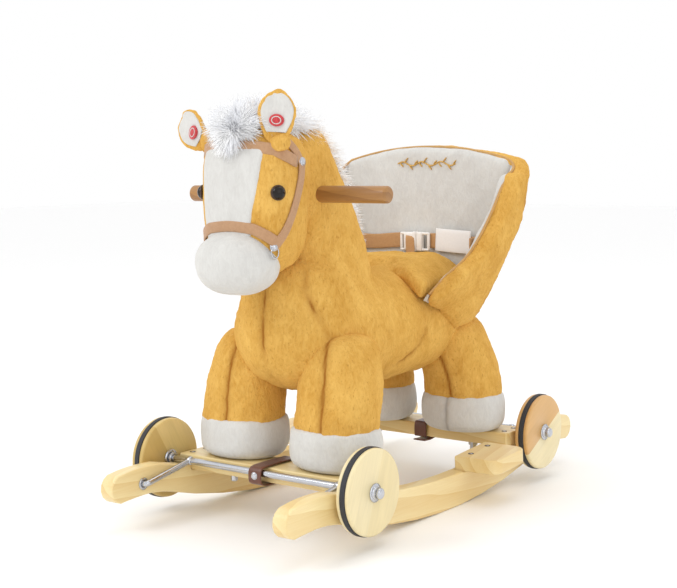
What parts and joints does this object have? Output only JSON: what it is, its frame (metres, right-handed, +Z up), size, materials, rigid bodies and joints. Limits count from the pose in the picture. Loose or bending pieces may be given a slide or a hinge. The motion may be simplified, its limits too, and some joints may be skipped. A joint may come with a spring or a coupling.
{
  "type": "rocking horse",
  "caption": "Plush rocking horse with a bucket seat, harness and wooden handle on curved runners, with wheels on swinging bails to roll it instead",
  "frame": {"origin": "on the floor under the middle of the runners, where the rocker touches at rest, and on the middle plane", "axes": "+X is the horse's left, +Y points to the tail, +Z is up"},
  "size_m": [0.372, 0.6328, 0.5039],
  "materials": {
    "pine": "clear lacquered pine, satin",
    "beech": "stained lacquered beech, satin",
    "board": "raw softwood and plywood, matt",
    "steel": "bright zinc or chrome plated steel",
    "rubber": "matt black rubber",
    "leatherette": "brown glossy leatherette",
    "golden_plush": "short pile golden plush",
    "white_plush": "short pile white plush",
    "fur": "long pile white faux fur",
    "webbing": "woven tan webbing",
    "tape": "ribbed tan ribbon, slight sheen",
    "glossy_black": "polished black",
    "white_plastic": "moulded, satin",
    "red_thread": "red embroidery",
    "black_plastic": "moulded, matt"
  },
  "bodies": {
    "rocker": {"runner_left": "pine", "footrest_left": "pine", "runner_right": "pine", "footrest_right": "pine", "front_crossbar": "pine", "front_leg_frame": "board", "front_strap": "leatherette", "leg_bolt_front_left": "steel", "leg_front_left": "golden_plush", "hoof_front_left": "white_plush", "leg_bolt_front_right": "steel", "leg_front_right": "golden_plush", "hoof_front_right": "white_plush", "rear_crossbar": "pine", "rear_leg_frame": "board", "rear_strap": "leatherette", "leg_bolt_rear_left": "steel", "leg_rear_left": "golden_plush", "hoof_rear_left": "white_plush", "leg_bolt_rear_right": "steel", "leg_rear_right": "golden_plush", "hoof_rear_right": "white_plush", "seat_board": "board", "neck_post": "board", "back_board": "board", "handle_bar": "beech", "sound_box": "black_plastic", "body": "golden_plush", "head": "golden_plush", "muzzle": "white_plush", "seat_shell": "golden_plush", "seat_lining": "white_plush", "seat_pad": "golden_plush", "mane": "fur", "tail": "fur", "bridle": "tape", "belt_right": "webbing", "buckle_socket": "white_plastic", "eye_left": "glossy_black", "ear_left": "white_plush", "eye_right": "glossy_black", "ear_right": "white_plush"},
    "front_bail": {"front_bail": "steel", "hub_cap_front_left": "steel", "hub_cap_front_right": "steel"},
    "front_left_wheel": {"wheel_front_left": "pine", "tyre_front_left": "rubber"},
    "front_right_wheel": {"wheel_front_right": "pine", "tyre_front_right": "rubber"},
    "rear_bail": {"rear_bail": "steel", "hub_cap_rear_left": "steel", "hub_cap_rear_right": "steel"},
    "rear_left_wheel": {"wheel_rear_left": "pine", "tyre_rear_left": "rubber"},
    "rear_right_wheel": {"wheel_rear_right": "pine", "tyre_rear_right": "rubber"},
    "left_ear_button": {"ear_button_left": "red_thread"},
    "right_ear_button": {"ear_button_right": "red_thread"},
    "belt_end": {"buckle_plug": "white_plastic", "belt_left": "webbing"}
  },
  "joints": [
    {"name": "front_bail_swing", "type": "hinge", "parent": "rocker", "child": "front_bail", "pos_m": [0, -0.267, 0.051], "axis": [1, 0, 0], "range_deg": [0, 325], "deforming": ["front_strap"]},
    {"name": "front_left_wheel_spin", "type": "hinge", "parent": "front_bail", "child": "front_left_wheel", "pos_m": [0.154, -0.193, 0.06491], "axis": [1, 0, 0], "continuous": true},
    {"name": "front_right_wheel_spin", "type": "hinge", "parent": "front_bail", "child": "front_right_wheel", "pos_m": [-0.154, -0.193, 0.06491], "axis": [1, 0, 0], "continuous": true},
    {"name": "rear_bail_swing", "type": "hinge", "parent": "rocker", "child": "rear_bail", "pos_m": [0, 0.267, 0.051], "axis": [-1, 0, 0], "range_deg": [0, 325], "deforming": ["rear_strap"]},
    {"name": "rear_left_wheel_spin", "type": "hinge", "parent": "rear_bail", "child": "rear_left_wheel", "pos_m": [0.154, 0.193, 0.06491], "axis": [1, 0, 0], "continuous": true},
    {"name": "rear_right_wheel_spin", "type": "hinge", "parent": "rear_bail", "child": "rear_right_wheel", "pos_m": [-0.154, 0.193, 0.06491], "axis": [1, 0, 0], "continuous": true},
    {"name": "left_ear_press", "type": "slide", "parent": "rocker", "child": "left_ear_button", "axis": [-0.4067, 0.9135, 0], "range_m": [0, 0.002], "stiffness_N_per_m": 800},
    {"name": "right_ear_press", "type": "slide", "parent": "rocker", "child": "right_ear_button", "axis": [0.1736, 0.9848, 0], "range_m": [0, 0.002], "stiffness_N_per_m": 800},
    {"name": "buckle_release", "type": "slide", "parent": "rocker", "child": "belt_end", "axis": [1, 0, 0], "range_m": [0, 0.022], "deforming": ["belt_left"]}
  ]
}
